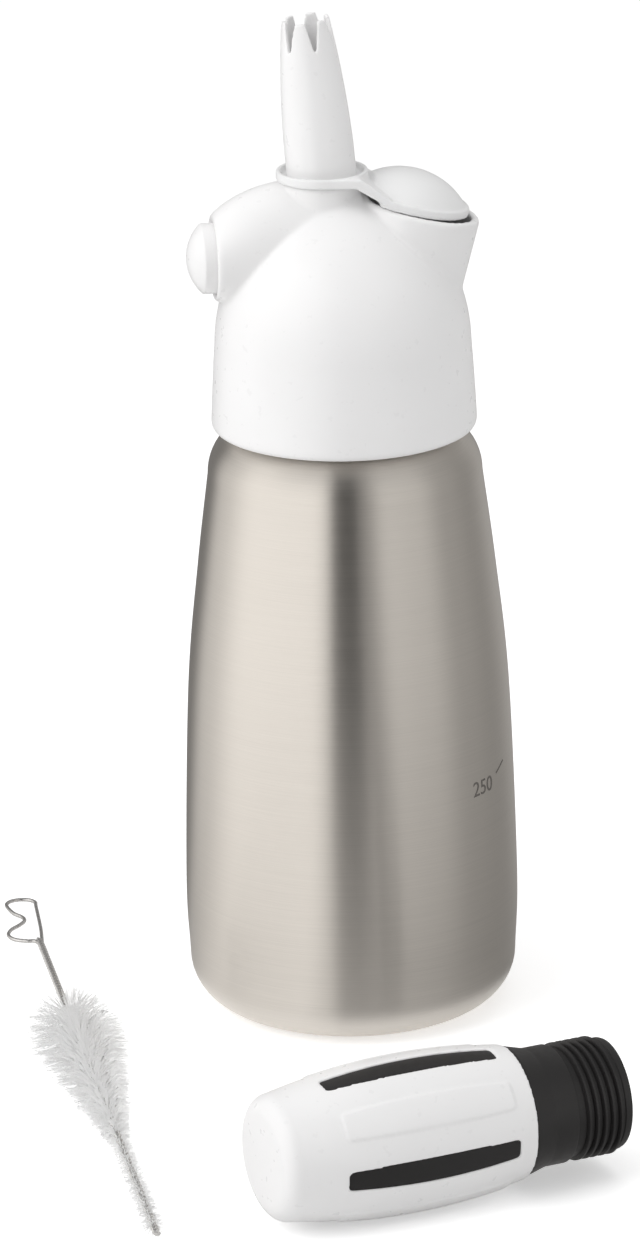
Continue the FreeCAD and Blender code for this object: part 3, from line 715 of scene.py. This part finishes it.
def ring_of(bm, centre, side, up, r, sides):
    """A ring of new vertices round a point."""
    turns = [math.tau * k / sides for k in range(sides)]
    return [bm.verts.new(centre + (side * math.cos(t) + up * math.sin(t)) * r) for t in turns]


def skin(bm, rings):
    """Faces between each two rings, and a cap on each end."""
    sides = len(rings[0])
    for ring, following in zip(rings, rings[1:]):
        for k in range(sides):
            m = (k + 1) % sides
            bm.faces.new((ring[k], ring[m], following[m], following[k]))
    bm.faces.new(rings[0][::-1])
    bm.faces.new(rings[-1])


def cone_r(s):
    """How far the long bristles reach at a place along the stem, in millimetres."""
    for (s0, r0), (s1, r1) in zip(CONE_MARKS, CONE_MARKS[1:]):
        if s <= s1:
            return r0 + (r1 - r0) * (s - s0) / (s1 - s0)
    return CONE_MARKS[-1][1]


def handle_points(low, high):
    """The bent handle's wire, from the stem's end at low, round its top at high and back."""
    return [
        (0.3, low - 2.5),
        (0.7, low + 1.0),
        (1.4, low + 8.0),
        (2.3, high - 5.0),
        (2.5, high - 2.6),
        (1.2, high - 0.6),
        (-1.4, high),
        (-3.6, high - 1.0),
        (-4.5, high - 3.4),
        (-3.6, low + 18.5),
        (-1.9, low + 15.4),
        (-1.7, low + 13.0),
        (-3.2, low + 10.5),
        (-5.6, low + 7.8),
        (-6.7, low + 4.6),
        (-5.8, low + 1.6),
        (-3.2, low - 0.1),
        (-1.2, low - 0.6),
        (-0.3, low - 2.5),
    ]


def bristle(chance, i, s, reach, floor_y):
    """The points of bristle i, rooted at s: it leans and bends, and lies on the floor it meets."""
    turn = math.tau * s / BRISTLE_PITCH + (math.pi if i % 2 else 0) + chance.gauss(0, 0.5)
    reach *= chance.uniform(0.86, 1.0) * (1 - 0.3 * max(0.0, -math.sin(turn)))
    lean = chance.gauss(-0.06, 0.12)
    side = chance.gauss(0.0, 0.10)
    out = Vector((math.cos(turn), math.sin(turn), 0))
    across = Vector((-out.y, out.x, 0))
    bend = chance.uniform(-0.12, 0.12)
    strand = []
    for k in range(4):
        f = k / 3
        q = out * (0.5 + (reach - 0.7) * f) + Z_AXIS * (s + reach * f * lean)
        q += across * reach * (f * side + f * f * bend)
        q *= MM
        q.y = min(q.y, floor_y - 0.05 * MM * (i % 5))
        strand.append(q)
    return strand


class WHIPPER_OT_brush(bpy.types.Operator):
    """Twists the brush's wire, bends its handle and sets its bristles"""

    bl_idname = "whipper.brush"
    bl_label = "Cleaning brush"

    def execute(self, context):
        p = context.scene.whipper_brush
        chance = random.Random(7)
        stem = bmesh.new()
        steps = int(p.length / p.pitch * 14)
        for turn in (0, math.pi):
            strand = []
            for i in range(steps + 1):
                s = p.length * i / steps
                t = turn + math.tau * s / p.pitch
                off_axis = Vector((math.cos(t), math.sin(t), 0)) * p.wire_r * 0.92 * MM
                strand.append(off_axis + Z_AXIS * s * MM)
            tube(stem, strand, p.wire_r * MM, 8)
        wire = to_object("twisted_wire", lay(stem, p, "X"), 60)
        dress(wire, "brush", "pin_steel", materials["wire"], "brush_wire")
        bends = flowing(handle_points(p.length, p.length + p.loop_length), 5)
        handle = bmesh.new()
        tube(handle, [(x * MM, 0, z * MM) for x, z in bends], p.wire_r * MM, 10)
        loop = to_object("bent_handle", lay(handle, p, "X"), 60)
        dress(loop, "brush", "pin_steel", materials["wire"], "brush_loop")
        floor_y = (p.axis_z - 0.25) * MM
        for name, count, start, length, node in (
            ("long_bristles", p.hairs, 54.0, 74.0, "brush_bristles"),
            ("tip_bristles", p.fine_hairs, 3.0, 50.0, "brush_tip_bristles"),
        ):
            bm = bmesh.new()
            for i in range(count):
                s = start + length * (i + chance.random()) / count
                reach = cone_r(s) if node == "brush_bristles" else TIP_REACH
                hair(bm, bristle(chance, i, s, reach, floor_y), BRISTLE_R * MM)
            bristles = to_object(name, lay(bm, p, "X"), 80)
            dress(bristles, "brush", "nylon", materials["nylon"], node)
        return {"FINISHED"}


def camera_frame():
    """The ground's right and away as the camera sees them, and its own three axes."""
    turn = math.radians(CAMERA_TURN)
    right = Vector((math.cos(turn), math.sin(turn), 0))
    away = Vector((-math.sin(turn), math.cos(turn), 0))
    pitch = math.radians(CAMERA_PITCH)
    roll = math.radians(CAMERA_ROLL)
    forward = away * math.cos(pitch) - Z_AXIS * math.sin(pitch)
    above = away * math.sin(pitch) + Z_AXIS * math.cos(pitch)
    across = right * math.cos(roll) + above * math.sin(roll)
    upward = above * math.cos(roll) - right * math.sin(roll)
    return right, away, across, upward, forward


def area_light(scene, name, place, aim, size_x, size_y, power):
    """A soft lamp aimed at the object and left out of reflections, which show the cards."""
    lamp = bpy.data.lights.new(name, "AREA")
    lamp.shape = "RECTANGLE"
    lamp.size = size_x
    lamp.size_y = size_y
    lamp.energy = power
    light = bpy.data.objects.new(name, lamp)
    scene.collection.objects.link(light)
    light.location = place
    light.visible_glossy = False
    light.rotation_mode = "QUATERNION"
    light.rotation_quaternion = (Vector(aim) - Vector(place)).to_track_quat("-Z", "Y")


# What the steel mirrors from afar: degrees round the set from the camera, and brightness.
CARDS = (
    (-179.0, 0.25),
    (-145.0, 0.25),
    (-118.0, 0.9),
    (-80.0, 1.4),
    (-24.0, 1.42),
    (-15.0, 1.05),
    (-9.5, 0.02),
    (7.0, 0.01),
    (12.0, 0.35),
    (32.0, 0.95),
    (58.0, 0.85),
    (88.0, 0.5),
    (118.0, 0.38),
    (150.0, 0.5),
    (179.0, 0.3),
)

# The same for what lies close to the bottle's foot.
NEAR_CARDS = (
    (-179.0, 0.25),
    (-145.0, 0.3),
    (-118.0, 0.7),
    (-80.0, 1.0),
    (-26.0, 1.02),
    (-14.0, 0.8),
    (-4.0, 0.5),
    (6.0, 0.48),
    (14.0, 0.46),
    (32.0, 0.36),
    (58.0, 0.33),
    (88.0, 0.3),
    (118.0, 0.3),
    (150.0, 0.35),
    (179.0, 0.3),
)


class WHIPPER_OT_stage(bpy.types.Operator):
    """Sets the camera, the pale floor and the soft studio light"""

    bl_idname = "whipper.stage"
    bl_label = "Stage"

    def execute(self, context):
        scene = context.scene
        p = scene.whipper_stage
        right, away, across, upward, forward = camera_frame()
        data = bpy.data.cameras.new("camera")
        data.sensor_width = 36.0
        data.lens = CAMERA_LENS
        data.clip_start = 0.1
        data.clip_end = 20.0
        camera = bpy.data.objects.new("camera", data)
        scene.collection.objects.link(camera)
        camera.location = (right * CAMERA_SIDESTEP - away * p.distance + Z_AXIS * p.height) * MM
        camera.rotation_mode = "QUATERNION"
        axes = Matrix((across, upward, -forward)).transposed()
        camera.rotation_quaternion = axes.to_quaternion()
        scene.camera = camera
        bm = bmesh.new()
        bmesh.ops.create_grid(bm, x_segments=1, y_segments=1, size=3.0)
        floor = to_object("floor", bm)
        n = Nodes("pale_floor")
        n.shades(n.noise(3.0), scaled(p.white, 0.995), scaled(p.white, 1.005))
        n.set(Roughness=0.9, Specular_IOR_Level=0.1, Emission_Color=(1, 1, 1, 1))
        path = n.add("ShaderNodeLightPath")
        seen = n.add("ShaderNodeMath", operation="MAXIMUM")
        n.link(path.outputs["Is Camera Ray"], seen.inputs[0])
        n.link(path.outputs["Is Glossy Ray"], seen.inputs[1])
        through = n.add("ShaderNodeMath", operation="MAXIMUM")
        n.link(seen.outputs[0], through.inputs[0])
        n.link(path.outputs["Is Transmission Ray"], through.inputs[1])
        glow = n.add("ShaderNodeMath", operation="MULTIPLY")
        glow.inputs[1].default_value = GLOW
        n.link(through.outputs[0], glow.inputs[0])
        n.link(glow.outputs[0], n.shader.inputs["Emission Strength"])
        floor.data.materials.append(n.material)
        self.reflector()
        target = Vector((0, 0, 0.12))
        left = right * -0.8 - away * 0.45 + Z_AXIS * 0.75
        area_light(scene, "left_box", left, target, 0.9, 0.9, 6.3)
        side = right * 0.9 - away * 0.2 + Z_AXIS * 0.5
        area_light(scene, "right_box", side, target, 0.6, 0.9, 1.5)
        area_light(scene, "top_box", Vector((0, 0, 1.2)), target, 1.4, 1.4, 5.4)
        world = bpy.data.worlds.new("studio")
        scene.world = world
        world.use_nodes = True
        back = world.node_tree.nodes["Background"]
        back.inputs["Color"].default_value = (1, 1, 1, 1)
        back.inputs["Strength"].default_value = GLOW
        scene.view_settings.view_transform = "Standard"
        return {"FINISHED"}

    def reflector(self):
        """A ring of light and dark cards round the set, seen only in reflections."""
        bm = bmesh.new()
        geom = chain(bm, [(42, 0.4), (1300, 0.4), (1300, 1600)])
        bmesh.ops.spin(
            bm, geom=geom, cent=(0, 0, 0), axis=(0, 0, 1), angle=math.tau, steps=64, use_merge=True
        )
        cards = to_object("studio_cards", bm)
        n = Nodes("studio_cards")
        gradient = n.add("ShaderNodeTexGradient", gradient_type="RADIAL")
        mapping = n.add("ShaderNodeMapping")
        mapping.inputs["Rotation"].default_value = (0, 0, math.radians(98.0))
        n.link(n.coords.outputs["Object"], mapping.inputs["Vector"])
        n.link(mapping.outputs["Vector"], gradient.inputs["Vector"])
        rings = []
        for table in (NEAR_CARDS, CARDS):
            ramp = n.add("ShaderNodeValToRGB")
            ramp.color_ramp.interpolation = "EASE"
            ramp.color_ramp.elements.remove(ramp.color_ramp.elements[1])
            for angle, level in table:
                element = ramp.color_ramp.elements.new(0.5 + angle / 360)
                element.color = (level, level * 0.985, level * 0.965, 1.0)
            ramp.color_ramp.elements.remove(ramp.color_ramp.elements[0])
            n.link(gradient.outputs["Fac"], ramp.inputs["Fac"])
            rings.append(ramp)
        radius = n.add("ShaderNodeVectorMath", operation="LENGTH")
        n.link(n.coords.outputs["Object"], radius.inputs[0])
        share = n.add("ShaderNodeMapRange", interpolation_type="SMOOTHSTEP")
        share.inputs["From Min"].default_value = 0.08
        share.inputs["From Max"].default_value = 0.34
        n.link(radius.outputs["Value"], share.inputs["Value"])
        mixed = n.add("ShaderNodeMix", data_type="RGBA")
        n.link(share.outputs["Result"], mixed.inputs[0])
        n.link(rings[0].outputs["Color"], mixed.inputs[6])
        n.link(rings[1].outputs["Color"], mixed.inputs[7])
        n.link(mixed.outputs[2], n.shader.inputs["Emission Color"])
        n.set(Base_Color=(0, 0, 0, 1), Emission_Strength=1.0, Specular_IOR_Level=0.0)
        cards.data.materials.append(n.material)
        cards.visible_camera = False
        cards.visible_diffuse = False
        cards.visible_transmission = False
        cards.visible_shadow = False


class WHIPPER_PT_panel(bpy.types.Panel):
    bl_idname = "WHIPPER_PT_panel"
    bl_label = "Cream Whipper"
    bl_space_type = "VIEW_3D"
    bl_region_type = "UI"
    bl_category = "Whipper"

    def draw(self, context):
        for operator in OPERATORS:
            self.layout.operator(operator.bl_idname)
        for group in GROUPS:
            box = self.layout.box()
            box.label(text=group)
            settings = getattr(context.scene, group)
            for key in settings.bl_rna.properties.keys():
                if key not in ("rna_type", "name"):
                    box.prop(settings, key)


GROUPS = {
    "whipper_bottle": WhipperBottle,
    "whipper_head": WhipperHead,
    "whipper_holder": WhipperHolder,
    "whipper_brush": WhipperBrush,
    "whipper_stage": WhipperStage,
}
OPERATORS = (
    WHIPPER_OT_stage,
    WHIPPER_OT_bottle,
    WHIPPER_OT_head,
    WHIPPER_OT_button,
    WHIPPER_OT_lid,
    WHIPPER_OT_holder,
    WHIPPER_OT_brush,
)


def register():
    for name, group in GROUPS.items():
        bpy.utils.register_class(group)
        setattr(bpy.types.Scene, name, PointerProperty(type=group))
    for cls in (*OPERATORS, WHIPPER_PT_panel):
        bpy.utils.register_class(cls)


def unregister():
    for cls in (WHIPPER_PT_panel, *reversed(OPERATORS)):
        bpy.utils.unregister_class(cls)
    for name, group in GROUPS.items():
        delattr(bpy.types.Scene, name)
        bpy.utils.unregister_class(group)


def main():
    register()
    build_materials(bpy.context.scene)
    bpy.ops.whipper.stage()
    bpy.ops.whipper.bottle()
    bpy.ops.whipper.head()
    bpy.ops.whipper.button()
    bpy.ops.whipper.lid()
    bpy.ops.whipper.holder()
    bpy.ops.whipper.brush()
    bpy.context.view_layer.update()


if __name__ == "__main__":
    main()
